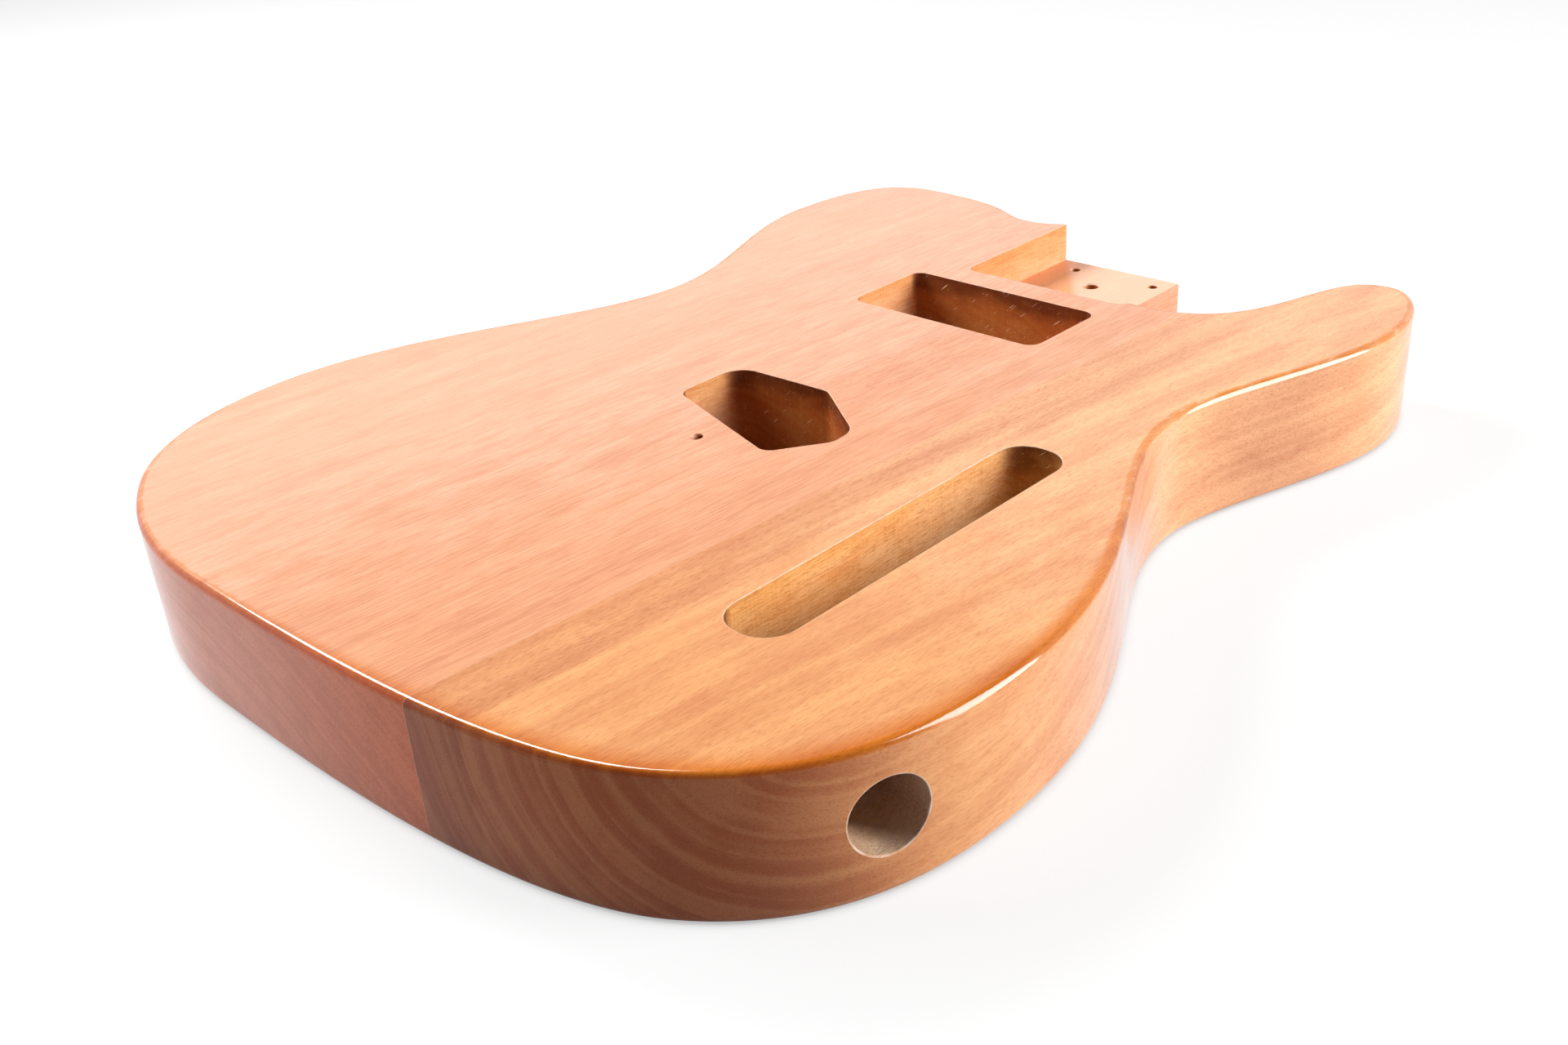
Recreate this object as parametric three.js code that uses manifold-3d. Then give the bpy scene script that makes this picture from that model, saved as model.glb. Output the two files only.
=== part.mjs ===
// Body of a solid electric guitar with one cutaway, bare of hardware: two boards glued edge to
// edge, cut to outline, rounded along both faces, and routed for a bolted neck, two pickups,
// a control plate and an edge jack.
// Millimetres. X runs along the strings towards the neck, Y towards the bass side, Z up from the
// back. The origin is on the back, in the middle of the body's length and width.

import * as THREE from 'three';
import { mergeVertices } from 'three/addons/utils/BufferGeometryUtils.js';
import Module from 'manifold-3d';

// Blank
const bodyLength = 408;
const bodyWidth = 324;
const bodyThickness = 44;
const edgeRadius = 3.5;

// Glued seam between the boards: how far out from the strings' line, as a share of half the
// body's width, and how far turned from it
const seamShare = 0.3846;
const seamAngle = 2.8;
const glueThickness = 0.2;
const glueClearance = 0.3;

// Neck pocket: shut on the bass side and at its butt wall, open at the heel and the cutaway
const heelSetback = 10.5;
const pocketLength = 69.5;
const pocketWidth = 56;
const pocketDepth = 16;
const pocketCornerRadius = 4.5;
const pocketOverhang = 20;
const pocketExitRadius = 8;

// Cutaway beside the heel
const cutawayStep = 5;
const cutawayFillet = 10;
const cutawayFlat = 14.5;

// Neck screws and the cutter's locating hole in the pocket floor
const screwHole = 4;
const screwSetback = 8.7;
const screwSpacingLong = 50.8;
const screwSpacingWide = 38.1;
const screwShift = 2;
const locatingHole = 6;
const locatingSetback = 22;
const locatingDepth = 9;

// Neck pickup cavity
const neckCavityLength = 39.5;
const neckCavityWidth = 86;
const neckCavityDepth = 22;
const neckCavityRadius = 5;
const neckCavitySetback = 12.5;

// Bridge pickup cavity
const bridgeCavityLength = 47;
const bridgeCavityWidth = 70;
const bridgeCavityDepth = 32;
const bridgeCornerRadius = 5;
const bridgeCavitySetback = 123.5;
const bridgeCavityShift = 3.5;

// Control cavity under its plate, with its middle line as a share of half the body's width
const controlCavityLength = 133;
const controlCavityWidth = 22.2;
const controlCavityDepth = 38;
const controlCornerRadius = 10;
const controlButtSetback = 77.5;
const controlLineShare = 0.5895;

// Bores for the jack, the wires and the bridge's earth wire
const jackBore = 22.2;
const jackAngle = 20.5;
const jackHeight = 23;
const wireBore = 10;
const wireFloorGap = 1.2;
const wireBoreInset = 22.5;
const earthBore = 3;
const earthSetback = 52;
const earthRun = 17;
const earthDepth = 26;

// How far a cutter runs past the surface that it opens
const overrun = 6;

// Outline from the hollow beside the heel, anticlockwise to the horn tip. Each node has its
// place as shares of half the length and half the width, its heading in degrees, and how far it
// pulls the curve before and after it, as shares of the way to that neighbour.
const outlineShares = [
  { x: 0.932, y: 0.277, heading: 90, before: 0.6, after: 0.239 }, // hollow beside the heel
  { x: 1, y: 0.67, heading: 90, before: 0.756, after: 0.319 }, // bass shoulder
  { x: 0.731, y: 0.896, heading: 180, before: 0.674, after: 0.346 }, // bass upper bout
  { x: 0.211, y: 0.709, heading: 180, before: 0.309, after: 0.273 }, // bass waist
  { x: -0.514, y: 1, heading: 180, before: 0.371, after: 0.424 }, // bass lower bout
  { x: -0.901, y: 0.76, heading: 238.1, before: 0.311, after: 0.265 }, // bass butt corner
  { x: -1, y: 0.298, heading: 270, before: 0.443, after: 0.497 }, // butt
  { x: -0.886, y: -0.756, heading: 302.6, before: 0.192, after: 0.474 }, // treble butt corner
  { x: -0.487, y: -1, heading: 360, before: 0.244, after: 0.463 }, // treble lower bout
  { x: 0.259, y: -0.707, heading: 360, before: 0.297, after: 0.246 }, // treble waist
  { x: 0.747, y: -0.85, heading: 360, before: 0.309, after: 0.413 }, // side of the horn
  { x: 0.963, y: -0.712, heading: 90, before: 0.272, after: 0.33 }, // tip of the horn
];
const heelHeading = 110;
const heelPullShare = 0.5;
const cutawayHeading = 90;
const cutawayPullShare = 0.547;

// Bridge pickup cavity, anticlockwise. Each corner has its place as shares of the cavity's
// length and width from its neck end and bass side, and its radius as a share of the small one.
const bridgeCornerShares = [
  { along: 0.655, across: 0, radius: 1.1 },
  { along: 1, across: 0.815, radius: 1 },
  { along: 0.613, across: 1, radius: 1.2 },
  { along: 0.402, across: 0.993, radius: 1.8 },
  { along: 0, across: 0.588, radius: 1.2 },
  { along: 0.05, across: 0, radius: 2 },
];

// Fineness of the facets
const outlineSteps = 14;
const cornerSteps = 4;
const edgeSteps = 4;
const jackSides = 36;
const wireSides = 20;
const screwSides = 16;

// Places worked out from the sizes
const halfLength = bodyLength / 2;
const halfWidth = bodyWidth / 2;
const seamOffset = halfWidth * seamShare;
const heelX = halfLength - heelSetback;
const heelY = pocketWidth / 2;
const pocketButtX = heelX - pocketLength;
const pocketFloorZ = bodyThickness - pocketDepth;
const cutawayX = pocketButtX + cutawayStep;
const filletY = -heelY - cutawayFillet;
const neckCavityX = pocketButtX - neckCavitySetback;
const neckCavityButtX = neckCavityX - neckCavityLength;
const neckFloorZ = bodyThickness - neckCavityDepth;
const bridgeCavityX = pocketButtX - bridgeCavitySetback;
const bridgeMiddleX = bridgeCavityX - bridgeCavityLength / 2;
const bridgeBassY = bridgeCavityWidth / 2 - bridgeCavityShift;
const bridgeFloorZ = bodyThickness - bridgeCavityDepth;
const controlButtX = -halfLength + controlButtSetback;
const controlNeckX = controlButtX + controlCavityLength;
const controlY = -halfWidth * controlLineShare;
const controlFloorZ = bodyThickness - controlCavityDepth;

const wasm = await Module();
wasm.setup();

// Closed solid of a three.js geometry, with its shared corners merged
function solid(geometry) {
  geometry.deleteAttribute('normal');
  geometry.deleteAttribute('uv');
  const merged = mergeVertices(geometry);
  const vertProperties = new Float32Array(merged.attributes.position.array);
  const triVerts = new Uint32Array(merged.index.array);
  return new wasm.Manifold(new wasm.Mesh({ numProp: 3, vertProperties, triVerts }));
}

// Mesh of a finished solid
function piece(name, body, colour, roughness) {
  const { vertProperties, triVerts } = body.getMesh();
  const geometry = new THREE.BufferGeometry();
  geometry.setAttribute('position', new THREE.BufferAttribute(vertProperties, 3));
  geometry.setIndex(new THREE.BufferAttribute(triVerts, 1));
  geometry.computeVertexNormals();
  const material = new THREE.MeshStandardMaterial({ color: colour, roughness, metalness: 0 });
  const mesh = new THREE.Mesh(geometry, material);
  mesh.name = name;
  return mesh;
}

// Control point at the given distance from a node along its heading, or behind it
function handle(node, distance) {
  const angle = THREE.MathUtils.degToRad(node.heading);
  const x = node.x + Math.cos(angle) * distance;
  const y = node.y + Math.sin(angle) * distance;
  return new THREE.Vector2(x, y);
}

// Outline of the body, with the heel's square end and the fillet where it leaves the cutaway
function bodyOutline() {
  const curveNodes = [
    { x: heelX, y: heelY, heading: heelHeading, after: heelPullShare },
    ...outlineShares.map((node) => ({ ...node, x: node.x * halfLength, y: node.y * halfWidth })),
    { x: cutawayX, y: filletY - cutawayFlat, heading: cutawayHeading, before: cutawayPullShare },
  ];
  const shape = new THREE.Shape();
  shape.moveTo(heelX, heelY);
  for (let i = 1; i < curveNodes.length; i += 1) {
    const from = curveNodes[i - 1];
    const to = curveNodes[i];
    const way = Math.hypot(to.x - from.x, to.y - from.y);
    const leaving = handle(from, from.after * way);
    const arriving = handle(to, -to.before * way);
    shape.bezierCurveTo(leaving.x, leaving.y, arriving.x, arriving.y, to.x, to.y);
  }
  shape.lineTo(cutawayX, filletY);
  shape.absarc(cutawayX + cutawayFillet, filletY, cutawayFillet, Math.PI, Math.PI / 2, true);
  shape.lineTo(heelX, -heelY);
  return shape;
}

// Closed shape through the given corners, in anticlockwise order, each rounded by an arc
function roundedShape(corners) {
  const shape = new THREE.Shape();
  corners.forEach((corner, i) => {
    const here = new THREE.Vector2(corner.x, corner.y);
    const last = corners[(i + corners.length - 1) % corners.length];
    const next = corners[(i + 1) % corners.length];
    const back = new THREE.Vector2(last.x, last.y).sub(here);
    const ahead = new THREE.Vector2(next.x, next.y).sub(here);
    const room = Math.min(back.length(), ahead.length()) / 2;
    const halfAngle = Math.acos(back.dot(ahead) / back.length() / ahead.length()) / 2;
    const radius = Math.min(corner.radius, room * Math.tan(halfAngle));
    const middle = back.normalize().clone().add(ahead.normalize()).normalize();
    const centre = here.addScaledVector(middle, radius / Math.sin(halfAngle));
    const start = Math.atan2(-back.x, back.y);
    const turn = Math.PI - halfAngle * 2;
    shape.absarc(centre.x, centre.y, radius, start + Math.PI, start + Math.PI + turn, false);
  });
  return shape;
}

// Rectangle between two corners, with one radius for all four
function roundedRectangle(lowX, highX, lowY, highY, radius) {
  return roundedShape([
    { x: lowX, y: lowY, radius },
    { x: highX, y: lowY, radius },
    { x: highX, y: highY, radius },
    { x: lowX, y: highY, radius },
  ]);
}

// Routed hollow with upright walls, from its floor to past the top
function rout(shape, floorZ) {
  const depth = bodyThickness - floorZ + overrun;
  const options = { depth, bevelEnabled: false, curveSegments: cornerSteps };
  return solid(new THREE.ExtrudeGeometry(shape, options).translate(0, 0, floorZ));
}

// Round cutter between two points
function drill(from, to, diameter, sides) {
  const along = new THREE.Vector3().subVectors(to, from);
  const radius = diameter / 2;
  const geometry = new THREE.CylinderGeometry(radius, radius, along.length(), sides);
  const upright = new THREE.Vector3(0, 1, 0);
  const turn = new THREE.Quaternion().setFromUnitVectors(upright, along.clone().normalize());
  geometry.applyQuaternion(turn);
  geometry.translate((from.x + to.x) / 2, (from.y + to.y) / 2, (from.z + to.z) / 2);
  return solid(geometry);
}

// Blank cut to outline, with the same round along the back and the top
function blank() {
  const geometry = new THREE.ExtrudeGeometry(bodyOutline(), {
    depth: bodyThickness - 2 * edgeRadius,
    bevelThickness: edgeRadius,
    bevelSize: edgeRadius,
    bevelOffset: -edgeRadius,
    bevelSegments: edgeSteps,
    curveSegments: outlineSteps,
  });
  return solid(geometry.translate(0, 0, edgeRadius));
}

// The cutter leaves the pocket through the cutaway side, past the heel's side
function neckPocket() {
  const shape = roundedShape([
    { x: pocketButtX, y: heelY, radius: pocketCornerRadius },
    { x: pocketButtX, y: -heelY - pocketOverhang, radius: pocketExitRadius },
    { x: halfLength + overrun, y: -heelY - pocketOverhang, radius: pocketCornerRadius },
    { x: halfLength + overrun, y: heelY, radius: pocketCornerRadius },
  ]);
  return rout(shape, pocketFloorZ);
}

// Four holes for the neck screws, right through the heel
function screwHoles() {
  const holes = [];
  for (const row of [0, 1]) {
    for (const side of [-1, 1]) {
      const x = heelX - screwSetback - row * screwSpacingLong;
      const y = (side * screwSpacingWide) / 2 - screwShift;
      const top = new THREE.Vector3(x, y, pocketFloorZ + overrun);
      const bottom = new THREE.Vector3(x, y, -overrun);
      holes.push(drill(bottom, top, screwHole, screwSides));
    }
  }
  return holes;
}

// Blind hole that places the routing template
function locatingPinHole() {
  const x = heelX - locatingSetback;
  const top = new THREE.Vector3(x, 0, pocketFloorZ + overrun);
  const bottom = new THREE.Vector3(x, 0, pocketFloorZ - locatingDepth);
  return drill(bottom, top, locatingHole, screwSides);
}

function neckPickupCavity() {
  const low = -neckCavityWidth / 2;
  const shape = roundedRectangle(neckCavityButtX, neckCavityX, low, -low, neckCavityRadius);
  return rout(shape, neckFloorZ);
}

// Six-sided hollow that follows the slant of the bridge pickup
function bridgePickupCavity() {
  const corners = bridgeCornerShares.map(({ along, across, radius }) => ({
    x: bridgeCavityX - along * bridgeCavityLength,
    y: bridgeBassY - across * bridgeCavityWidth,
    radius: radius * bridgeCornerRadius,
  }));
  return rout(roundedShape(corners), bridgeFloorZ);
}

function controlCavity() {
  const low = controlY - controlCavityWidth / 2;
  const high = controlY + controlCavityWidth / 2;
  const shape = roundedRectangle(controlButtX, controlNeckX, low, high, controlCornerRadius);
  return rout(shape, controlFloorZ);
}

// Jack bore from the edge of the lower bout into the butt end of the control cavity
function jackHole() {
  const angle = THREE.MathUtils.degToRad(jackAngle);
  const inner = new THREE.Vector3(controlButtX, controlY, jackHeight);
  inner.x += controlCavityWidth / 2;
  const run = halfWidth + controlY + edgeRadius;
  const outer = inner.clone();
  outer.x -= Math.tan(angle) * run;
  outer.y -= run;
  return drill(inner, outer, jackBore, jackSides);
}

// Slanted bore for the neck pickup's wires, from the foot of its cavity to the bridge cavity
function neckWireHole() {
  const y = bridgeBassY - bridgeCavityWidth / 2 - wireBoreInset / 2;
  const rise = wireBore / 2 + wireFloorGap;
  const start = new THREE.Vector3(neckCavityButtX + wireBore, y, neckFloorZ + rise);
  const end = new THREE.Vector3(bridgeCavityX - wireBoreInset / 2, y, bridgeFloorZ + rise);
  return drill(start, end, wireBore, wireSides);
}

// Level bore for all wires, from the bridge cavity across the seam to the control cavity
function controlWireHole() {
  const end = controlCavityWidth / 2;
  const x = THREE.MathUtils.clamp(bridgeMiddleX, controlButtX + end, controlNeckX - end);
  const z = bridgeFloorZ + wireBore / 2 + wireFloorGap;
  const from = new THREE.Vector3(bridgeMiddleX, bridgeBassY - bridgeCavityWidth + wireBoreInset, z);
  return drill(from, new THREE.Vector3(x, controlY, z), wireBore, wireSides);
}

// Thin slanted hole for the bridge's earth wire, from the top into the bridge cavity
function earthWireHole() {
  const top = new THREE.Vector3(bridgeCavityX - earthSetback, 0, bodyThickness);
  const inner = new THREE.Vector3(top.x + earthRun, 0, bodyThickness - earthDepth);
  const outer = top.clone().addScaledVector(top.clone().sub(inner).normalize(), overrun);
  return drill(inner, outer, earthBore, screwSides);
}

// Block that keeps what lies between two distances from the seam's middle plane
function seamBlock(near, far) {
  const span = bodyLength + bodyWidth;
  const geometry = new THREE.BoxGeometry(span, far - near, span);
  geometry.translate(0, (near + far) / 2, 0);
  geometry.rotateZ(THREE.MathUtils.degToRad(-seamAngle));
  return solid(geometry.translate(0, -seamOffset, 0));
}

const cuts = [
  neckPocket(),
  ...screwHoles(),
  locatingPinHole(),
  neckPickupCavity(),
  bridgePickupCavity(),
  controlCavity(),
  jackHole(),
  neckWireHole(),
  controlWireHole(),
  earthWireHole(),
];
const body = cuts.reduce((whole, cut) => whole.subtract(cut), blank());

const glueHalf = glueThickness / 2;
const boardFace = glueHalf + glueClearance;
const bassBoard = body.intersect(seamBlock(boardFace, bodyLength));
const trebleBoard = body.intersect(seamBlock(-bodyLength, -boardFace));
const glueFilm = body.intersect(seamBlock(-glueHalf, glueHalf));

const guitarBody = new THREE.Group();
guitarBody.name = 'guitar_body';
guitarBody.add(piece('bass_side_board', bassBoard, '#f0b48f', 0.24));
guitarBody.add(piece('treble_side_board', trebleBoard, '#eda872', 0.24));
guitarBody.add(piece('glue_line', glueFilm, '#c98d55', 0.4));

export default guitarBody;
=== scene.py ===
import math

import bmesh
import bpy
import numpy as np
from mathutils import Matrix, Vector


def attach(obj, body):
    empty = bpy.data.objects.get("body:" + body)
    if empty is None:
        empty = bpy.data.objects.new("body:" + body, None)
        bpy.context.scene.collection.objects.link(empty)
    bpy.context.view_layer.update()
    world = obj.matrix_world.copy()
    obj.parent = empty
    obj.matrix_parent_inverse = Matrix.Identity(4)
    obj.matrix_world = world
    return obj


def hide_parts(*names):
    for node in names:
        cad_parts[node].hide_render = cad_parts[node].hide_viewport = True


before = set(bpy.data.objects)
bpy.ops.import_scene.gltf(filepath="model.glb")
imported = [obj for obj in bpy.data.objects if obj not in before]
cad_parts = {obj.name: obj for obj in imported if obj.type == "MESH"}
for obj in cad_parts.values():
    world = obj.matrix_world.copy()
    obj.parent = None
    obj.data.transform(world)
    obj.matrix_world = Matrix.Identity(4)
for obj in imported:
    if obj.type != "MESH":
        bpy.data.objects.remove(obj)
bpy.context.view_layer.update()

# Blank. Two boards of a mahogany-like hardwood are glued edge to edge, sawn and sanded to the
# single-cutaway outline, and rounded along the top and the back with a small cutter.
MM = 0.001
LENGTH, WIDTH, THICKNESS = 408.0, 324.0, 44.0
EDGE_RADIUS, HEEL_EDGE_RADIUS = 2.3, 0.5
EDGE_STEPS = 9
POINT_SPACING, FILLET_SPACING = 1.3, 1.0
CURVE_OVER_CHORD = 1.1
FEWEST_CURVE_STEPS, FEWEST_ARC_STEPS = 6, 3
SHARPEST_LEAN = 0.3
HEEL_X, HEEL_Y = 193.5, 28.0
HEEL_HEADING, HEEL_PULL = 110.0, 0.5
CUTAWAY = (129.0, -52.5)
CUTAWAY_PULL = 0.547
CUTAWAY_FILLET = 10.0

# numbers that the faces carry, in the order of each board's materials
FINISHED, ROUTED, RIM, BORED = 0, 1, 2, 3

# place as shares of half the length and width, heading in degrees, pull before and after
OUTLINE_SHARES = [
    (0.932, 0.277, 90, 0.6, 0.239),  # hollow beside the heel
    (1, 0.67, 90, 0.756, 0.319),  # bass shoulder
    (0.731, 0.896, 180, 0.674, 0.346),  # bass upper bout
    (0.211, 0.709, 180, 0.309, 0.273),  # bass waist
    (-0.514, 1, 180, 0.371, 0.424),  # bass lower bout
    (-0.901, 0.76, 238.1, 0.311, 0.265),  # bass butt corner
    (-1, 0.298, 270, 0.443, 0.497),  # butt
    (-0.886, -0.756, 302.6, 0.192, 0.474),  # treble butt corner
    (-0.487, -1, 360, 0.244, 0.463),  # treble lower bout
    (0.259, -0.707, 360, 0.297, 0.246),  # treble waist
    (0.747, -0.85, 360, 0.309, 0.413),  # side of the horn
    (0.963, -0.712, 90, 0.272, 0.33),  # tip of the horn
]

# rings on the flat faces beside the edge: distance inward, share of the painted edge shade there
INNER_RINGS = [(8.0, 0.0), (2.5, 0.6)]
HEEL_INWARD_SHARE = 0.1
HEEL_FADE = 16.0


def heading(degrees):
    return np.array([math.cos(math.radians(degrees)), math.sin(math.radians(degrees))])


def arc(centre, radius, start, end, spacing):
    """Points on an arc between two directions in degrees."""
    steps = int(abs(math.radians(end - start)) * radius / spacing) + 1
    steps = max(FEWEST_ARC_STEPS, steps)
    return [np.array(centre) + radius * heading(a) for a in np.linspace(start, end, steps)]


def body_outline():
    """The outline in millimetres, anticlockwise from the heel's bass corner."""
    nodes = [(np.array([HEEL_X, HEEL_Y]), HEEL_HEADING, 0, HEEL_PULL)]
    for x, y, turned, before, after in OUTLINE_SHARES:
        nodes.append((np.array([x * LENGTH / 2, y * WIDTH / 2]), turned, before, after))
    nodes.append((np.array(CUTAWAY), 90, CUTAWAY_PULL, 0))
    points = []
    for (start, out_heading, _, after), (end, in_heading, before, _) in zip(nodes, nodes[1:]):
        way = np.linalg.norm(end - start)
        leaving = start + heading(out_heading) * after * way
        arriving = end - heading(in_heading) * before * way
        steps = int(way * CURVE_OVER_CHORD / POINT_SPACING) + FEWEST_CURVE_STEPS
        for t in np.linspace(0, 1, steps, endpoint=False):
            u = 1 - t
            points.append(
                u**3 * start + 3 * u * u * t * leaving + 3 * u * t * t * arriving + t**3 * end
            )
    fillet = (CUTAWAY[0] + CUTAWAY_FILLET, -HEEL_Y - CUTAWAY_FILLET)
    points.append(np.array(CUTAWAY))
    points += arc(fillet, CUTAWAY_FILLET, 180, 90, FILLET_SPACING)
    points.append(np.array([HEEL_X, -HEEL_Y]))
    return np.array(points)


def offset(points, distance):
    """A closed outline moved out by a distance, with its corners mitred."""
    before = points - np.roll(points, 1, axis=0)
    after = np.roll(points, -1, axis=0) - points
    before /= np.linalg.norm(before, axis=1)[:, None]
    after /= np.linalg.norm(after, axis=1)[:, None]
    tangent = before + after
    tangent /= np.linalg.norm(tangent, axis=1)[:, None]
    lean = np.maximum((tangent * after).sum(1), SHARPEST_LEAN)
    normal = np.stack([tangent[:, 1], -tangent[:, 0]], axis=1)
    return points + normal * (distance / lean)[:, None]


def new_object(name, data):
    made = bpy.data.objects.new(name, data)
    bpy.context.scene.collection.objects.link(made)
    return made


def finish_shell(name, shell):
    """Turns a shell under construction into an object."""
    mesh = bpy.data.meshes.new(name)
    shell.to_mesh(mesh)
    shell.free()
    return new_object(name, mesh)


def close_rings(shell, rings, marks):
    """Skins rings of points into a closed shell; marks are the materials of cap, bands, cap."""
    shell.faces.new(reversed(rings[0])).material_index = marks[0]
    for low, high, mark in zip(rings, rings[1:], marks[1:]):
        for i in range(len(low)):
            j = (i + 1) % len(low)
            shell.faces.new((low[i], low[j], high[j], high[i])).material_index = mark
    shell.faces.new(rings[-1]).material_index = marks[-1]
    bmesh.ops.recalc_face_normals(shell, faces=shell.faces)


def stack(name, layers, marks, shares=None):
    """Closed mesh of outlines at heights in millimetres; marks give each band's material.

    Shares, one for each outline, are kept in the layer "edge" for the finish to read.
    """
    shell = bmesh.new()
    rings = []
    for ring, z in layers:
        heights = np.broadcast_to(z, len(ring))
        places = [Vector((*place, height)) * MM for place, height in zip(ring, heights)]
        rings.append([shell.verts.new(place) for place in places])
    close_rings(shell, rings, marks)
    if shares:
        edge = shell.loops.layers.uv.new("edge")
        near_edge = {vert: share for ring, share in zip(rings, shares) for vert in ring}
        for face in shell.faces:
            for corner in face.loops:
                corner[edge].uv = (near_edge[corner.vert], 0)
    return finish_shell(name, shell)


# the edge is nearly square at the heel and grows to its full radius away from it
outline = body_outline()
from_heel = np.hypot(outline[:, 0] - HEEL_X, outline[:, 1] * (abs(outline[:, 1]) > HEEL_Y))
fade = np.clip((from_heel - HEEL_Y) / HEEL_FADE, 0, 1)
fade = fade * fade * (3 - 2 * fade)
radius = HEEL_EDGE_RADIUS + (EDGE_RADIUS - HEEL_EDGE_RADIUS) * fade
inward_share = HEEL_INWARD_SHARE + (1 - HEEL_INWARD_SHARE) * fade
layers, shares = [], []
for inward, share in INNER_RINGS:
    layers.append((offset(outline, -radius - inward * inward_share), 0.0))
    shares.append(share)
for k in range(EDGE_STEPS + 1):
    turn = math.radians(90 * k / EDGE_STEPS)
    ring = offset(outline, -radius * (1 - math.sin(turn)))
    layers.append((ring, radius * (1 - math.cos(turn))))
    shares.append(1.0)
layers += [(ring, THICKNESS - z) for ring, z in reversed(layers)]
block = stack("block", layers, [FINISHED] * (len(layers) + 1), shares + shares[::-1])

# Neck pocket. A hand router follows a template: the pocket is shut on the bass side and at its
# butt wall, and the cutter leaves through the heel and the cutaway. Four screw holes go through.
RIM_SOFTENING = 0.25
POCKET_X, POCKET_FLOOR = 124.0, 28.0
POCKET_EXIT_Y = -48.0
POCKET_CORNER, POCKET_EXIT_CORNER = 4.5, 8.0
SCREW_HOLE, SCREW_HOLE_EASE = 4.0, 0.25
SCREW_PLACES = [(184.8, 17.05), (184.8, -21.05), (134.0, 17.05), (134.0, -21.05)]
LOCATING_HOLE, LOCATING_X, LOCATING_DEPTH = 6.0, 171.5, 9.0
LOCATING_FLARE = 0.5
RIM_TURNS = (0, 30, 60, 90)
CORNER_SPACING = 0.7
PAST = 6.0


def rounded(corners):
    """Anticlockwise polygon with each corner (x, y, radius) rounded by an arc."""
    points = []
    for i, (x, y, radius) in enumerate(corners):
        here = np.array([x, y])
        back = np.array(corners[i - 1][:2]) - here
        ahead = np.array(corners[(i + 1) % len(corners)][:2]) - here
        back, ahead = back / np.linalg.norm(back), ahead / np.linalg.norm(ahead)
        half = math.acos(np.clip(back @ ahead, -1, 1)) / 2
        middle = (back + ahead) / np.linalg.norm(back + ahead)
        centre = here + middle * radius / math.sin(half)
        start = math.degrees(math.atan2(-back[0], back[1])) + 180
        end = start + 180 - math.degrees(half * 2)
        points += arc(centre, radius, start, end, CORNER_SPACING)
    return np.array(points)


def rout(name, corners, floor):
    """Cutter for an upright hollow, flared where it breaks the top so that the rim is eased."""
    shape = rounded(corners)
    layers = [(shape, floor)]
    for turn in RIM_TURNS:
        out = RIM_SOFTENING * (1 - math.cos(math.radians(turn)))
        drop = RIM_SOFTENING * (1 - math.sin(math.radians(turn)))
        layers.append((offset(shape, out), THICKNESS - drop))
    layers.append((offset(shape, RIM_SOFTENING), THICKNESS + PAST))
    return stack(name, layers, [ROUTED, ROUTED, RIM, RIM, RIM, ROUTED, ROUTED])


def unit_circle(sides):
    turns = [2 * math.pi * i / sides for i in range(sides)]
    return [(math.cos(a), math.sin(a)) for a in turns]


def drill(name, start, end, profile, sides):
    """Round cutter from start towards end; profile lists (distance along, radius, material)."""
    start, end = Vector(start), Vector(end)
    along = (end - start).normalized()
    turn = along.to_track_quat("Z", "Y").to_matrix()
    cutter = bmesh.new()
    rings = []
    for reach, radius, _ in profile:
        centre = start + along * reach
        places = [centre + turn @ Vector((c, s, 0)) * radius for c, s in unit_circle(sides)]
        rings.append([cutter.verts.new(place * MM) for place in places])
    marks = [mark for _, _, mark in profile]
    close_rings(cutter, rings, [ROUTED] + marks[1:] + [ROUTED])
    return finish_shell(name, cutter)


pocket_corners = [
    (POCKET_X, HEEL_Y, POCKET_CORNER),
    (POCKET_X, POCKET_EXIT_Y, POCKET_EXIT_CORNER),
    (LENGTH / 2 + PAST, POCKET_EXIT_Y, POCKET_CORNER),
    (LENGTH / 2 + PAST, HEEL_Y, POCKET_CORNER),
]
cutters = [rout("pocket_cutter", pocket_corners, POCKET_FLOOR)]
narrow = SCREW_HOLE / 2
wide = narrow + SCREW_HOLE_EASE
screw_profile = [
    (0, wide, ROUTED),
    (PAST, wide, ROUTED),
    (PAST + SCREW_HOLE_EASE, narrow, RIM),
    (PAST + POCKET_FLOOR - SCREW_HOLE_EASE, narrow, ROUTED),
    (PAST + POCKET_FLOOR, wide, RIM),
    (PAST + POCKET_FLOOR + PAST, wide, ROUTED),
]
for i, (x, y) in enumerate(SCREW_PLACES):
    back, front = (x, y, -PAST), (x, y, POCKET_FLOOR + PAST)
    cutters.append(drill(f"screw_drill_{i}", back, front, screw_profile, sides=24))
locating_profile = [
    (0, LOCATING_HOLE / 2, ROUTED),
    (LOCATING_DEPTH - LOCATING_FLARE, LOCATING_HOLE / 2, ROUTED),
    (LOCATING_DEPTH, LOCATING_HOLE / 2 + LOCATING_FLARE, RIM),
    (LOCATING_DEPTH + PAST, LOCATING_HOLE / 2 + LOCATING_FLARE, ROUTED),
]
locating_foot = (LOCATING_X, 0, POCKET_FLOOR - LOCATING_DEPTH)
locating_mouth = (LOCATING_X, 0, POCKET_FLOOR + PAST)
cutters.append(
    drill("locating_drill", locating_foot, locating_mouth, locating_profile, sides=32)
)

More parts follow.
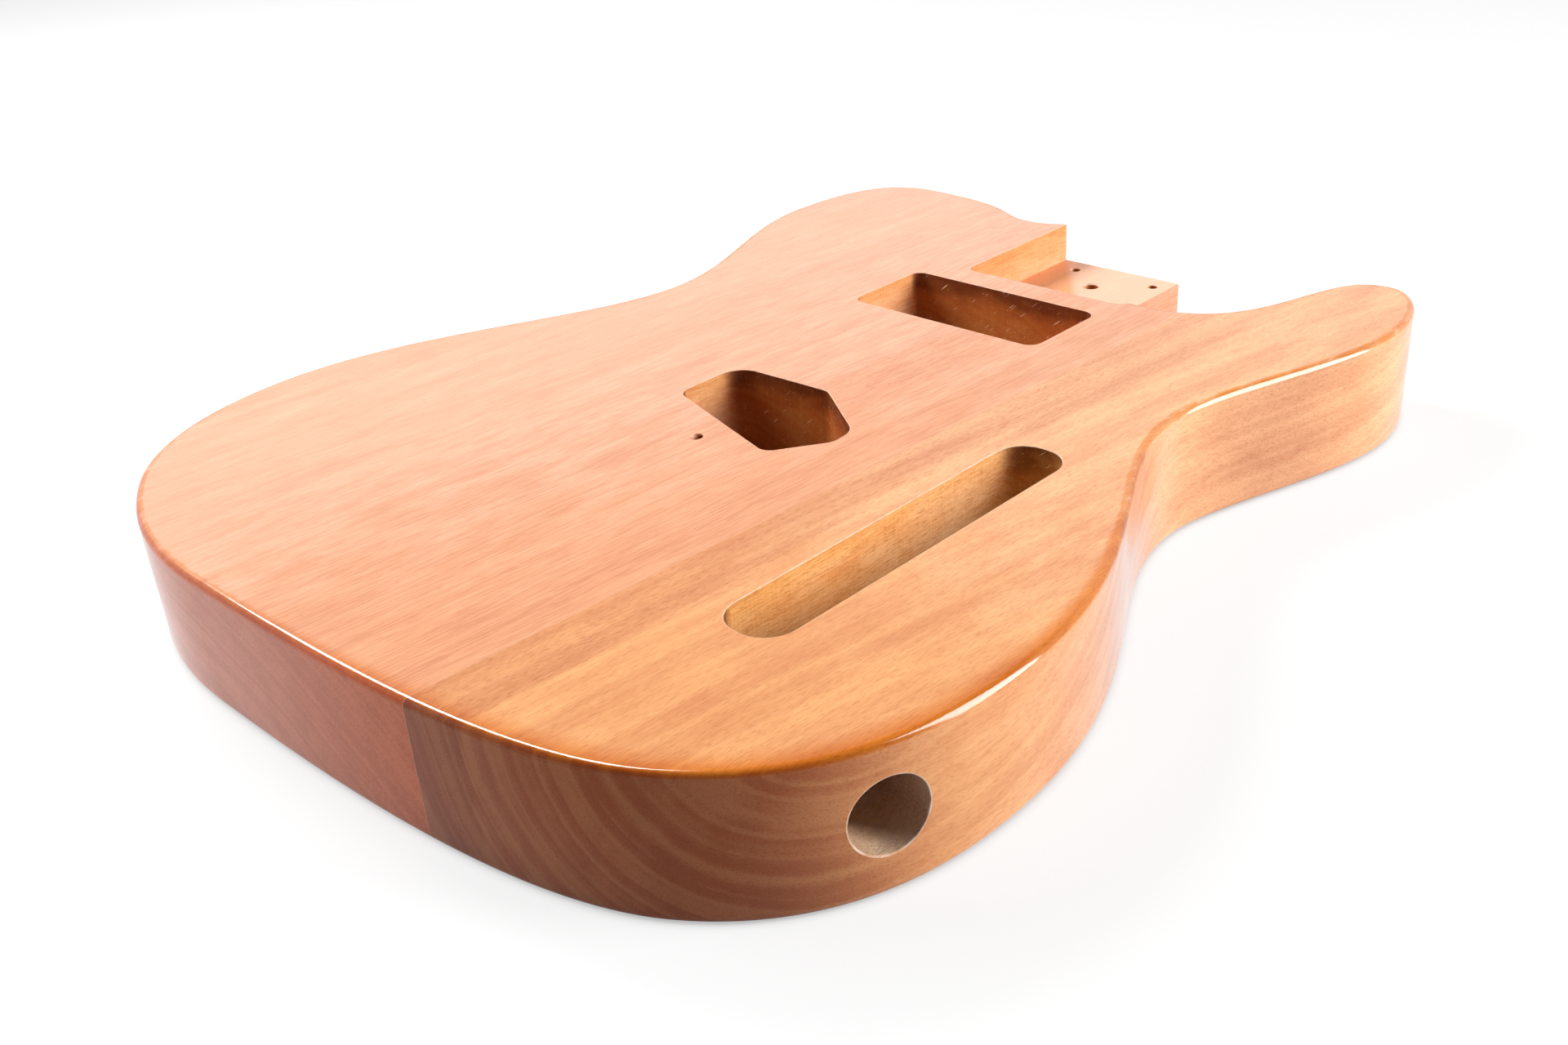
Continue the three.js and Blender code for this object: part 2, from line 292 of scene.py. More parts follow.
# Pickup cavities. The neck pickup's is a plain rectangle, the bridge pickup's has six sides
# along the slanted pickup; both are routed from the top with upright walls and flat floors.
NECK_CAVITY = [(72.0, 43.0, 5.0), (72.0, -43.0, 5.0), (111.5, -43.0, 5.0), (111.5, 43.0, 5.0)]
NECK_CAVITY_FLOOR = 22.0
BRIDGE_CAVITY = [
    (-30.285, 31.5, 5.5),
    (-46.5, -25.55, 5.0),
    (-28.311, -38.5, 6.0),
    (-18.394, -38.01, 9.0),
    (0.5, -9.66, 6.0),
    (-1.85, 31.5, 10.0),
]
BRIDGE_CAVITY_FLOOR = 12.0
cutters.append(rout("neck_pickup_cutter", NECK_CAVITY, NECK_CAVITY_FLOOR))
cutters.append(rout("bridge_pickup_cutter", BRIDGE_CAVITY, BRIDGE_CAVITY_FLOOR))

# Control cavity and jack bore. A long slot takes the switch and the controls under their plate,
# and a large bore runs into its butt end from the edge, where the jack is fitted.
CONTROL_CAVITY = [
    (-126.5, -84.4, 10.0),
    (-126.5, -106.6, 10.0),
    (6.5, -106.6, 10.0),
    (6.5, -84.4, 10.0),
]
CONTROL_CAVITY_FLOOR = 6.0
JACK_BORE, JACK_ANGLE, JACK_HEIGHT = 22.2, 20.5, 23.0
JACK_START = (-115.4, -95.5)
JACK_RIM = 0.5
JACK_SIDES = 72
cutters.append(rout("control_cutter", CONTROL_CAVITY, CONTROL_CAVITY_FLOOR))


def wall_distance(start, along):
    """How far along a level line from start the body's outline is."""
    nearest = math.inf
    for a, b in zip(outline, np.roll(outline, -1, axis=0)):
        edge = b - a
        cross = along[0] * edge[1] - along[1] * edge[0]
        if cross == 0:
            continue
        gap = a - start
        t = (gap[0] * edge[1] - gap[1] * edge[0]) / cross
        u = (gap[0] * along[1] - gap[1] * along[0]) / cross
        if t > 0 and 0 <= u <= 1:
            nearest = min(nearest, t)
    return nearest


def jack_cutter():
    """Level round cutter whose flare follows the curved wall that it leaves through."""
    turned = math.radians(JACK_ANGLE)
    along = np.array([-math.sin(turned), -math.cos(turned)])
    side = np.array([-along[1], along[0]])
    start = np.array(JACK_START)
    # each ring's widening and how far it stands past the wall, as shares of the rim
    bands = [(0, None), (0, -1), (0.29, -0.293), (1, 0), (1, PAST / JACK_RIM)]
    cutter = bmesh.new()
    rings = []
    for wide, past_wall in bands:
        radius = JACK_BORE / 2 + JACK_RIM * wide
        ring = []
        for c, s in unit_circle(JACK_SIDES):
            base = start + side * c * radius
            reach = 0.0
            if past_wall is not None:
                reach = wall_distance(base, along) + JACK_RIM * past_wall
            place = Vector((*(base + along * reach), JACK_HEIGHT + s * radius))
            ring.append(cutter.verts.new(place * MM))
        rings.append(ring)
    close_rings(cutter, rings, [BORED, BORED, RIM, RIM, ROUTED, ROUTED])
    return finish_shell("jack_cutter", cutter)


cutters.append(jack_cutter())

# Wire bores. A slanted one joins the pickup cavities, a level one crosses the seam to the
# control cavity, and a thin one lets the bridge's earth wire down from the top.
WIRE_BORE = 10.0
EARTH_BORE = 3.0
# flare of the earth wire's bore: depths of its foot and of its lip, widening at and past the lip
EARTH_FLARE_FOOT, EARTH_FLARE_LIP = 1.9, 0.2
EARTH_FLARE_WIDE, EARTH_FLARE_PAST = 0.7, 0.9
WIRE_RUNS = [
    ((82.0, -14.75, 28.2), (-10.75, -14.75, 18.2)),
    ((-23.0, -16.0, 18.2), (-23.0, -95.5, 18.2)),
]
for i, (start, end) in enumerate(WIRE_RUNS):
    run = (Vector(end) - Vector(start)).length
    profile = [(0, WIRE_BORE / 2, ROUTED), (run, WIRE_BORE / 2, ROUTED)]
    cutters.append(drill(f"wire_drill_{i}", start, end, profile, sides=36))
EARTH_TOP, EARTH_INNER = Vector((-51.5, 0, 44)), Vector((-34.5, 0, 18))
earth_run = (EARTH_TOP - EARTH_INNER).length
earth_profile = [
    (0, EARTH_BORE / 2, ROUTED),
    (earth_run - EARTH_FLARE_FOOT, EARTH_BORE / 2, ROUTED),
    (earth_run - EARTH_FLARE_LIP, EARTH_BORE / 2 + EARTH_FLARE_WIDE, RIM),
    (earth_run + PAST, EARTH_BORE / 2 + EARTH_FLARE_PAST, RIM),
]
cutters.append(drill("earth_drill", EARTH_INNER, EARTH_TOP, earth_profile, sides=28))


def evaluated_mesh(obj, name):
    """The mesh of an object after its modifiers."""
    bpy.context.view_layer.update()
    graph = bpy.context.evaluated_depsgraph_get()
    mesh = bpy.data.meshes.new_from_object(obj.evaluated_get(graph), depsgraph=graph)
    mesh.name = name
    return mesh


def combine(obj, cutter, operation):
    """Adds an exact boolean that keeps each face's material number."""
    step = obj.modifiers.new(cutter.name, "BOOLEAN")
    step.operation = operation
    step.solver = "EXACT"
    step.material_mode = "INDEX"
    step.object = cutter


for cutter in cutters:
    combine(block, cutter, "DIFFERENCE")
block.data = evaluated_mesh(block, "routed_block")
block.modifiers.clear()
for cutter in cutters:
    bpy.data.objects.remove(cutter)

# Two boards. A wide pinkish one on the bass side and a narrow tan one on the treble side meet at
# a seam just off the strings' line. Their sanded faces are under clear gloss lacquer, and the
# routed and drilled walls are bare.
SEAM_OFFSET, SEAM_ANGLE = 62.3, 2.8
GLUE_HALF = 0.06
SHARP_ANGLE = 28
NORMAL_WEIGHT = 100


def seam_box(name, near, far):
    """Box that keeps what lies between two distances from the seam's middle plane."""
    shell = bmesh.new()
    bmesh.ops.create_cube(shell, size=1)
    span = (LENGTH + WIDTH) * MM
    size = Matrix.Diagonal((span, (far - near) * MM, span, 1))
    lift = Matrix.Translation((0, (near + far) / 2 * MM, 0))
    turn = Matrix.Rotation(math.radians(-SEAM_ANGLE), 4, "Z")
    place = Matrix.Translation((0, -SEAM_OFFSET * MM, 0))
    bmesh.ops.transform(shell, matrix=place @ turn @ lift @ size, verts=shell.verts)
    for face in shell.faces:
        face.material_index = ROUTED
    return finish_shell(name, shell)


def sawn_from_block(name, near, far):
    """The part of the block between two distances from the seam, with clean shading normals."""
    made = new_object(name, block.data.copy())
    keeper = seam_box(name + "_keeper", near, far)
    combine(made, keeper, "INTERSECT")
    made.data = evaluated_mesh(made, name)
    made.modifiers.clear()
    bpy.data.objects.remove(keeper)
    made.data.shade_smooth()
    made.data.set_sharp_from_angle(angle=math.radians(SHARP_ANGLE))
    weighted = made.modifiers.new("weighted_normals", "WEIGHTED_NORMAL")
    weighted.mode = "FACE_AREA"
    weighted.weight = NORMAL_WEIGHT
    weighted.keep_sharp = True
    made.data = evaluated_mesh(made, name)
    made.modifiers.clear()
    return made


def put(tree, kind, inputs=None, **settings):
    """Adds a node; inputs maps a socket's name or number to a value or to a linked socket."""
    made = tree.nodes.new(kind)
    for key, value in settings.items():
        setattr(made, key, value)
    for key, value in (inputs or {}).items():
        if isinstance(value, bpy.types.NodeSocket):
            tree.links.new(value, made.inputs[key])
        else:
            made.inputs[key].default_value = value
    return made


def maths(tree, operation, *values, clamp=False):
    made = put(tree, "ShaderNodeMath", dict(enumerate(values)), operation=operation)
    made.use_clamp = clamp
    return made.outputs[0]


def ramp(tree, value, low, high, out_low=0.0, out_high=1.0):
    """Value between low and high turned into a share, smoothly and with its ends held."""
    span = {"Value": value, 1: low, 2: high, 3: out_low, 4: out_high}
    return put(tree, "ShaderNodeMapRange", span, interpolation_type="SMOOTHSTEP").outputs[0]


def blend_colour(tree, share, first, second, kind="MIX"):
    inputs = {0: share, 6: first, 7: second}
    return put(tree, "ShaderNodeMix", inputs, data_type="RGBA", blend_type=kind).outputs[2]


def tint(tree, share, colour, stain):
    """Colour with a share of a stain laid over it."""
    return blend_colour(tree, share, colour, stain, "MULTIPLY")


def component(tree, vector, number):
    return put(tree, "ShaderNodeSeparateXYZ", {0: vector}).outputs[number]


def distance_along(tree, vector, way):
    inputs = {0: vector, 1: way}
    made = put(tree, "ShaderNodeVectorMath", inputs, operation="DOT_PRODUCT")
    return made.outputs["Value"]


def in_millimetres(tree):
    """The place on the piece in millimetres, and the way its surface faces."""
    coords = tree.nodes.new("ShaderNodeTexCoord").outputs
    inputs = {0: coords["Object"], "Scale": 1 / MM}
    made = put(tree, "ShaderNodeVectorMath", inputs, operation="SCALE")
    return made.outputs[0], coords["Normal"]


def grain_noise(tree, vector, stretch, detail=2.0, roughness=0.5):
    """Noise drawn out along each axis by its own length in millimetres."""
    shares = tuple(1 / length for length in stretch)
    scaled = put(tree, "ShaderNodeVectorMath", {0: vector, 1: shares}, operation="MULTIPLY")
    inputs = {"Vector": scaled.outputs[0], "Scale": 1.0, "Detail": detail, "Roughness": roughness}
    return put(tree, "ShaderNodeTexNoise", inputs)


RING_WAVER, RING_JITTER, PALE_LINE_STRENGTH = 8.0, 1.4, 0.5
RIBBON_LENGTH, RIBBON_DEPTH = 150, 18
MIDDLE_TONE = 0.42
BAND_RAGGEDNESS = 9.0


def sawn_wood_group():
    """Solid timber: growth rings round the heart, ribbon, cloud, streaks and flecks."""
    tree = bpy.data.node_groups.new("sawn_wood", "ShaderNodeTree")
    face = tree.interface
    for name, kind, value in (
        ("Heart Y", "NodeSocketFloat", 0.0),
        ("Heart Z", "NodeSocketFloat", 0.0),
        ("Drift Y", "NodeSocketFloat", 0.0),
        ("Drift Z", "NodeSocketFloat", 0.0),
        ("Ring Width", "NodeSocketFloat", 4.0),
        ("Ring Strength", "NodeSocketFloat", 0.5),
        ("Ribbon Width", "NodeSocketFloat", 8.0),
        ("Ribbon Strength", "NodeSocketFloat", 0.5),
        ("Cloud Strength", "NodeSocketFloat", 0.5),
        ("Streak Strength", "NodeSocketFloat", 0.5),
        ("Fleck Strength", "NodeSocketFloat", 0.5),
        ("Mellow X", "NodeSocketFloat", 0.0),
        ("Mellow Y", "NodeSocketFloat", 0.0),
        ("Mellow Start", "NodeSocketFloat", 0.0),
        ("Band Y", "NodeSocketFloat", 0.0),
        ("Band From X", "NodeSocketFloat", 0.0),
        ("Band To X", "NodeSocketFloat", 100.0),
        ("Band Strength", "NodeSocketFloat", 0.0),
        ("Light Wood", "NodeSocketColor", (1, 1, 1, 1)),
        ("Dark Wood", "NodeSocketColor", (0, 0, 0, 1)),
        ("Mellow Tint", "NodeSocketColor", (1, 1, 1, 1)),
        ("Band Tint", "NodeSocketColor", (1, 1, 1, 1)),
        ("Pore Tint", "NodeSocketColor", (0, 0, 0, 1)),
        ("End Tint", "NodeSocketColor", (1, 1, 1, 1)),
    ):
        socket = face.new_socket(name, in_out="INPUT", socket_type=kind)
        socket.default_value = value
    face.new_socket("Color", in_out="OUTPUT", socket_type="NodeSocketColor")
    face.new_socket("Height", in_out="OUTPUT", socket_type="NodeSocketFloat")
    face.new_socket("End Grain", in_out="OUTPUT", socket_type="NodeSocketFloat")
    given = tree.nodes.new("NodeGroupInput").outputs
    place, facing = in_millimetres(tree)
    along_seam = (0, 0, math.radians(SEAM_ANGLE))
    place = put(tree, "ShaderNodeMapping", {0: place, "Rotation": along_seam}).outputs[0]
    endwise = maths(tree, "ABSOLUTE", component(tree, facing, 0))
    end = ramp(tree, endwise, 0.08, 0.7)

    # growth rings round a heart line, wavering along the trunk
    warp = grain_noise(tree, place, (160, 45, 45), 1.5)
    warp_xyz = put(tree, "ShaderNodeSeparateXYZ", {0: warp.outputs["Color"]}).outputs
    xyz = put(tree, "ShaderNodeSeparateXYZ", {0: place}).outputs
    heart_y = maths(tree, "MULTIPLY_ADD", given["Drift Y"], xyz[0], given["Heart Y"])
    heart_z = maths(tree, "MULTIPLY_ADD", given["Drift Z"], xyz[0], given["Heart Z"])
    wave_y = maths(tree, "MULTIPLY_ADD", warp_xyz[0], RING_WAVER, xyz[1])
    wave_z = maths(tree, "MULTIPLY_ADD", warp_xyz[1], RING_WAVER, xyz[2])
    from_y = maths(tree, "SUBTRACT", wave_y, heart_y)
    from_z = maths(tree, "SUBTRACT", wave_z, heart_z)
    square = maths(tree, "MULTIPLY", from_y, from_y)
    radius = maths(tree, "SQRT", maths(tree, "MULTIPLY_ADD", from_z, from_z, square))
    ring = maths(tree, "DIVIDE", radius, given["Ring Width"])
    inputs = {"W": ring, "Scale": 0.5, "Detail": 2.0, "Roughness": 0.55}
    bands = put(tree, "ShaderNodeTexNoise", inputs, noise_dimensions="1D").outputs[0]
    inputs = {"W": ring, "Scale": 0.37, "Detail": 1.0}
    jitter = put(tree, "ShaderNodeTexNoise", inputs, noise_dimensions="1D").outputs[0]
    phase = maths(tree, "FRACT", maths(tree, "MULTIPLY_ADD", jitter, RING_JITTER, ring))
    pale_line = maths(tree, "MULTIPLY", ramp(tree, phase, 0.5, 0.8), ramp(tree, phase, 1.0, 0.84))
    pale_line = maths(tree, "MULTIPLY", pale_line, PALE_LINE_STRENGTH)
    ring_tone = maths(tree, "SUBTRACT", ramp(tree, bands, 0.3, 0.7), pale_line)
    end_gain = ramp(tree, end, 0.0, 1.0, 0.25, 1.0)
    ring_share = maths(tree, "MULTIPLY", given["Ring Strength"], end_gain)

    # ribbon, cloudy figure, long streaks and short flecks
    across = maths(tree, "DIVIDE", 1.0, given["Ribbon Width"])
    shares = {0: 1 / RIBBON_LENGTH, 1: across, 2: 1 / RIBBON_DEPTH}
    size = put(tree, "ShaderNodeCombineXYZ", shares).outputs[0]
    scaled = put(tree, "ShaderNodeVectorMath", {0: place, 1: size}, operation="MULTIPLY")
    inputs = {"Vector": scaled.outputs[0], "Scale": 1.0, "Detail": 2.0}
    ribbon = ramp(tree, put(tree, "ShaderNodeTexNoise", inputs).outputs[0], 0.32, 0.68)
    cloud = ramp(tree, grain_noise(tree, place, (26, 11, 11), 3.0, 0.6).outputs[0], 0.3, 0.7)
    patch = grain_noise(tree, place, (45, 7, 7), 2.0, 0.6).outputs[0]
    streaks = grain_noise(tree, place, (17, 0.7, 0.7), 2.0, 0.65).outputs[0]
    streak = ramp(tree, maths(tree, "MULTIPLY_ADD", patch, 0.25, streaks), 0.585, 0.69)
    # the streaks grow fainter towards the bass edge
    calm = ramp(tree, xyz[1], 110.0, 20.0, 0.4, 1.0)
    streak = maths(tree, "MULTIPLY_ADD", maths(tree, "SUBTRACT", streak, 0.3), calm, 0.3)
    flecks = grain_noise(tree, place, (2.8, 0.36, 0.36), 1.0).outputs[0]
    fleck = ramp(tree, flecks, 0.52, 0.66)
    tone = maths(tree, "MULTIPLY", maths(tree, "SUBTRACT", ring_tone, 0.35), ring_share)
    for value, middle, strength in (
        (ribbon, 0.5, "Ribbon Strength"),
        (cloud, 0.5, "Cloud Strength"),
        (streak, 0.35, "Streak Strength"),
    ):
        part = maths(tree, "SUBTRACT", value, middle)
        tone = maths(tree, "MULTIPLY_ADD", part, given[strength], tone)
    tone = maths(tree, "ADD", tone, MIDDLE_TONE, clamp=True)
    colour = blend_colour(tree, tone, given["Light Wood"], given["Dark Wood"])

    # the wood is mellower towards one end and one edge
    mellow = maths(tree, "MULTIPLY_ADD", xyz[0], given["Mellow X"], given["Mellow Start"])
    mellow = maths(tree, "MULTIPLY_ADD", xyz[1], given["Mellow Y"], mellow)
    mellow = maths(tree, "MULTIPLY_ADD", maths(tree, "SUBTRACT", cloud, 0.5), 0.3, mellow)
    colour = tint(tree, ramp(tree, mellow, 0.0, 1.0), colour, given["Mellow Tint"])

    # one broad dark growth band, with an uneven edge
    off_band = maths(tree, "SUBTRACT", wave_y, given["Band Y"])
    ragged = maths(tree, "SUBTRACT", ribbon, 0.5)
    uneven = maths(tree, "MULTIPLY_ADD", ragged, BAND_RAGGEDNESS, off_band)
    band = ramp(tree, maths(tree, "ABSOLUTE", uneven), 15.0, 8.0)
    band_reach = ramp(tree, xyz[0], given["Band From X"], given["Band To X"])
    band = maths(tree, "MULTIPLY", band, band_reach)
    band = maths(tree, "MULTIPLY", band, given["Band Strength"])
    colour = tint(tree, band, colour, given["Band Tint"])
    fleck_share = maths(tree, "MULTIPLY_ADD", band, 0.5, given["Fleck Strength"])
    fleck_share = maths(tree, "MULTIPLY", fleck, fleck_share)
    colour = tint(tree, fleck_share, colour, given["Pore Tint"])
    colour = tint(tree, end, colour, given["End Tint"])
    height = maths(tree, "SUBTRACT", maths(tree, "MULTIPLY", streaks, -0.35), fleck)
    out = tree.nodes.new("NodeGroupOutput").inputs
    tree.links.new(colour, out["Color"])
    tree.links.new(height, out["Height"])
    tree.links.new(end, out["End Grain"])
    return tree


sawn_wood = sawn_wood_group()


def new_material(name):
    made = bpy.data.materials.new(name)
    made.use_nodes = True
    tree = made.node_tree
    shader = tree.nodes["Principled BSDF"]
    return made, tree, shader


def timber(tree, wood):
    """A sawn_wood node with one board's own values."""
    made = tree.nodes.new("ShaderNodeGroup")
    made.node_tree = sawn_wood
    for key, value in wood.items():
        made.inputs[key].default_value = value
    return made.outputs


# amber of the painted shade along the rounded edges
EDGE_SHADE_AMBER = (0.84, 0.54, 0.14, 1)
LACQUER_IOR = 1.5
TREBLE_BUTT_WAY = (-1, -1, 0)


def lacquered(name, wood):
    """Sanded wood under clear gloss lacquer, with painted shade in amber along the rounded edges.
    """
    made, tree, shader = new_material(name)
    grain = timber(tree, wood)
    place, facing = in_millimetres(tree)
    slope = maths(tree, "ABSOLUTE", component(tree, facing, 2))
    edge = put(tree, "ShaderNodeUVMap", uv_map="edge").outputs[0]
    near_edge = component(tree, edge, 0)
    # painted shade: the wood is tinted amber on the rounded edge and just beside it, where the
    # gloss mirrors little light; the band is widest at the treble butt corner
    towards_corner = distance_along(tree, place, TREBLE_BUTT_WAY)
    reach = ramp(tree, towards_corner, 120.0, 290.0, 0.9, 0.0)
    mottle = grain_noise(tree, place, (9, 4, 4), 2.0).outputs[0]
    reach = maths(tree, "MULTIPLY_ADD", maths(tree, "SUBTRACT", mottle, 0.5), 0.5, reach)
    painted_edge_shade = ramp(tree, near_edge, reach, 1.05)
    painted_edge_shade = maths(tree, "MULTIPLY", painted_edge_shade, ramp(tree, slope, 0.25, 0.6))
    colour = tint(tree, painted_edge_shade, grain["Color"], EDGE_SHADE_AMBER)
    tree.links.new(colour, shader.inputs["Base Color"])
    haze = grain_noise(tree, place, (30, 14, 14), 2.0).outputs[0]
    tree.links.new(ramp(tree, haze, 0.3, 0.7, 0.08, 0.14), shader.inputs["Roughness"])
    relief = {"Strength": 0.1, "Distance": 0.04 * MM, "Height": grain["Height"]}
    bump = put(tree, "ShaderNodeBump", relief)
    tree.links.new(bump.outputs[0], shader.inputs["Normal"])
    shader.inputs["IOR"].default_value = LACQUER_IOR
    return made


BURNISH, TOP_BURNISH = (0.97, 0.75, 0.55, 1), (0.92, 0.82, 0.62, 1)
# darkening for the tops of end-grain walls: partly a stain, partly painted shade
RIM_SHADE = (0.42, 0.35, 0.3, 1)
POCKET_STAIN = (1.0, 0.85, 0.76, 1)
# the floors' orange is a painted shadow
FLOOR_PINK, FLOOR_SHADOW_ORANGE = (0.92, 0.57, 0.43, 1), (0.8, 0.34, 0.15, 1)
FLOOR_SHARE, SCUFF_SHARE = 0.75, 0.65
FLOOR_SHADOW_WAY = (-0.618, 0.786, 0)
LEVEL_DRIFT = 14.0
SCUFF_LEAN = 40
TORN_GRAIN = (0.85, 0.66, 0.5, 1)


def routed(name, wood):
    """Bare wood off the cutter: dry, furry in the pores, with faint marks of its turns."""
    made, tree, shader = new_material(name)
    grain = timber(tree, wood)
    place, facing = in_millimetres(tree)
    chatter = grain_noise(tree, place, (1.1, 1.1, 40), 1.0).outputs[0]
    drift = grain_noise(tree, place, (14, 14, 6), 2.0).outputs[0]

    # the walls are darker towards the top, most of all where they cut across the grain; there the
    # darkening is partly a stain and partly painted shade
    level = maths(tree, "MULTIPLY_ADD", drift, LEVEL_DRIFT, component(tree, place, 2))
    colour = tint(tree, ramp(tree, level, 30.0, 44.0), grain["Color"], BURNISH)
    colour = tint(tree, ramp(tree, level, 43.0, 52.0), colour, TOP_BURNISH)
    stain_and_painted_shade = maths(tree, "MULTIPLY", ramp(tree, level, 40.0, 50.0), grain["End Grain"])
    colour = tint(tree, stain_and_painted_shade, colour, RIM_SHADE)

    # the neck pocket is browner; floors are pink towards the pocket's open corner, and beyond a
    # slanted line a painted shadow turns them orange
    in_pocket = ramp(tree, component(tree, place, 0), 114.0, 124.0)
    colour = tint(tree, in_pocket, colour, POCKET_STAIN)
    upward = ramp(tree, component(tree, facing, 2), 0.8, 0.95)
    across = ramp(tree, distance_along(tree, place, FLOOR_SHADOW_WAY), -101.0, -96.0)
    floor_tone = blend_colour(tree, across, FLOOR_PINK, FLOOR_SHADOW_ORANGE)
    colour = blend_colour(tree, maths(tree, "MULTIPLY", upward, FLOOR_SHARE), colour, floor_tone)

    # scuffs from the cutter's shank and bits of torn grain
    lean = (math.radians(SCUFF_LEAN), 0, 0)
    tilted = put(tree, "ShaderNodeMapping", {0: place, "Rotation": lean}).outputs[0]
    lines = ramp(tree, grain_noise(tree, tilted, (0.6, 8, 0.5), 1.0).outputs[0], 0.7, 0.77)
    specks = ramp(tree, grain_noise(tree, place, (0.9, 0.9, 0.9), 1.0).outputs[0], 0.74, 0.8)
    scuffed = maths(tree, "MULTIPLY", maths(tree, "MAXIMUM", lines, specks), grain["End Grain"])
    scuffed = maths(tree, "MULTIPLY", scuffed, SCUFF_SHARE)
    colour = blend_colour(tree, scuffed, colour, TORN_GRAIN)
    tree.links.new(colour, shader.inputs["Base Color"])
    tree.links.new(ramp(tree, chatter, 0.3, 0.7, 0.5, 0.75), shader.inputs["Roughness"])
    relief = {"Strength": 0.5, "Distance": 0.2 * MM}
    relief["Height"] = maths(tree, "ADD", grain["Height"], chatter)
    bump = put(tree, "ShaderNodeBump", relief)
    tree.links.new(bump.outputs[0], shader.inputs["Normal"])
    shader.inputs["Specular IOR Level"].default_value = 0.3
    return made


LEAST_WEAR = 0.4


def eased(name, wood, pale, share):
    """Rim where sandpaper went through the finish: paler wood with a low shine."""
    made, tree, shader = new_material(name)
    grain = timber(tree, wood)
    place, _ = in_millimetres(tree)
    wear = grain_noise(tree, place, (2.5, 2.5, 2.5), 2.0).outputs[0]
    worn = ramp(tree, wear, 0.35, 0.65, share * LEAST_WEAR, share)
    colour = blend_colour(tree, worn, grain["Color"], pale)
    tree.links.new(colour, shader.inputs["Base Color"])
    tree.links.new(ramp(tree, worn, 0.0, 1.0, 0.35, 0.6), shader.inputs["Roughness"])
    return made


DUST = (0.57, 0.38, 0.28, 1)


def bored(name, wood):
    """Torn end grain inside a large bore, dry and dulled by dust."""
    made, tree, shader = new_material(name)
    grain = timber(tree, wood)
    place, _ = in_millimetres(tree)
    speckle = grain_noise(tree, place, (0.7, 0.7, 0.7), 3.0, 0.7).outputs[0]
    drift = grain_noise(tree, place, (9, 9, 9), 2.0).outputs[0]
    dust = maths(tree, "MULTIPLY_ADD", maths(tree, "SUBTRACT", speckle, 0.5), 1.6, drift)
    dust = ramp(tree, dust, 0.2, 0.75, 0.45, 1.0)
    colour = blend_colour(tree, dust, grain["Color"], DUST)
    tree.links.new(colour, shader.inputs["Base Color"])
    shader.inputs["Roughness"].default_value = 0.85
    shader.inputs["Specular IOR Level"].default_value = 0.2
    relief = {"Strength": 0.7, "Distance": 0.4 * MM}
    relief["Height"] = maths(tree, "ADD", speckle, grain["Height"])
    bump = put(tree, "ShaderNodeBump", relief)
    tree.links.new(bump.outputs[0], shader.inputs["Normal"])
    return made


def dress(board, *materials):
    """Gives a board its materials, in the order of the numbers its faces carry."""
    marks = [face.material_index for face in board.data.polygons]
    board.data.materials.clear()
    for material in materials:
        board.data.materials.append(material)
    board.data.polygons.foreach_set("material_index", marks)


# bass side board: pinkish, flat-sawn, with the heart under it and one broad dark band
BASS_WOOD = {
    "Heart Y": 75.0,
    "Heart Z": -118.0,
    "Drift Y": 0.02,
    "Drift Z": 0.0,
    "Ring Width": 4.2,
    "Ring Strength": 0.7,
    "Ribbon Width": 6.0,
    "Ribbon Strength": 0.24,
    "Cloud Strength": 0.24,
    "Streak Strength": 0.62,
    "Fleck Strength": 0.3,
    "Band Y": -14.0,
    "Band From X": -30.0,
    "Band To X": 20.0,
    "Band Strength": 0.8,
    "Band Tint": (0.94, 0.84, 0.74, 1),
    "Mellow X": -0.0017,
    "Mellow Y": -0.0077,
    "Mellow Start": 0.36,
    "Mellow Tint": (0.95, 0.81, 0.63, 1),
    "Light Wood": (0.825, 0.418, 0.26, 1),
    "Dark Wood": (0.66, 0.297, 0.165, 1),
    "Pore Tint": (0.85, 0.72, 0.68, 1),
    "End Tint": (0.76, 0.46, 0.4, 1),
}
BASS_WORN = (0.85, 0.66, 0.5, 1)
BASS_BARE = {
    **BASS_WOOD,
    "Light Wood": (0.95, 0.66, 0.42, 1),
    "Dark Wood": (0.84, 0.47, 0.24, 1),
    # the bare end tint is partly painted shade on the cavities' end-grain walls
    "End Tint": (0.43, 0.25, 0.1, 1),
}
bass_board = sawn_from_block("bass_board", GLUE_HALF, LENGTH)
dress(
    bass_board,
    lacquered("bass_lacquered", BASS_WOOD),
    routed("bass_routed", BASS_BARE),
    eased("bass_eased_rim", BASS_WOOD, BASS_WORN, share=0.6),
)
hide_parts("bass_side_board")
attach(bass_board, "root")

# treble side board: tan, with a ribbon figure and plain growth rings on its end
TREBLE_WOOD = {
    "Heart Y": -180.0,
    "Heart Z": 104.0,
    "Drift Y": 0.0,
    "Drift Z": 0.2,
    "Ring Width": 4.6,
    "Ring Strength": 1.3,
    "Ribbon Width": 9.0,
    "Ribbon Strength": 0.36,
    "Cloud Strength": 0.4,
    "Streak Strength": 0.22,
    "Fleck Strength": 0.75,
    "Mellow X": -0.0071,
    "Mellow Y": 0.0,
    "Mellow Start": 0.1,
    "Mellow Tint": (0.94, 0.84, 0.64, 1),
    "Band Y": -67.0,
    "Band From X": 170.0,
    "Band To X": 60.0,
    "Band Strength": 0.8,
    "Light Wood": (0.865, 0.45, 0.218, 1),
    "Dark Wood": (0.69, 0.288, 0.128, 1),
    "Band Tint": (0.87, 0.8, 0.77, 1),
    "Pore Tint": (0.84, 0.72, 0.62, 1),
    "End Tint": (0.5, 0.38, 0.46, 1),
}
TREBLE_WORN = (0.8, 0.66, 0.52, 1)
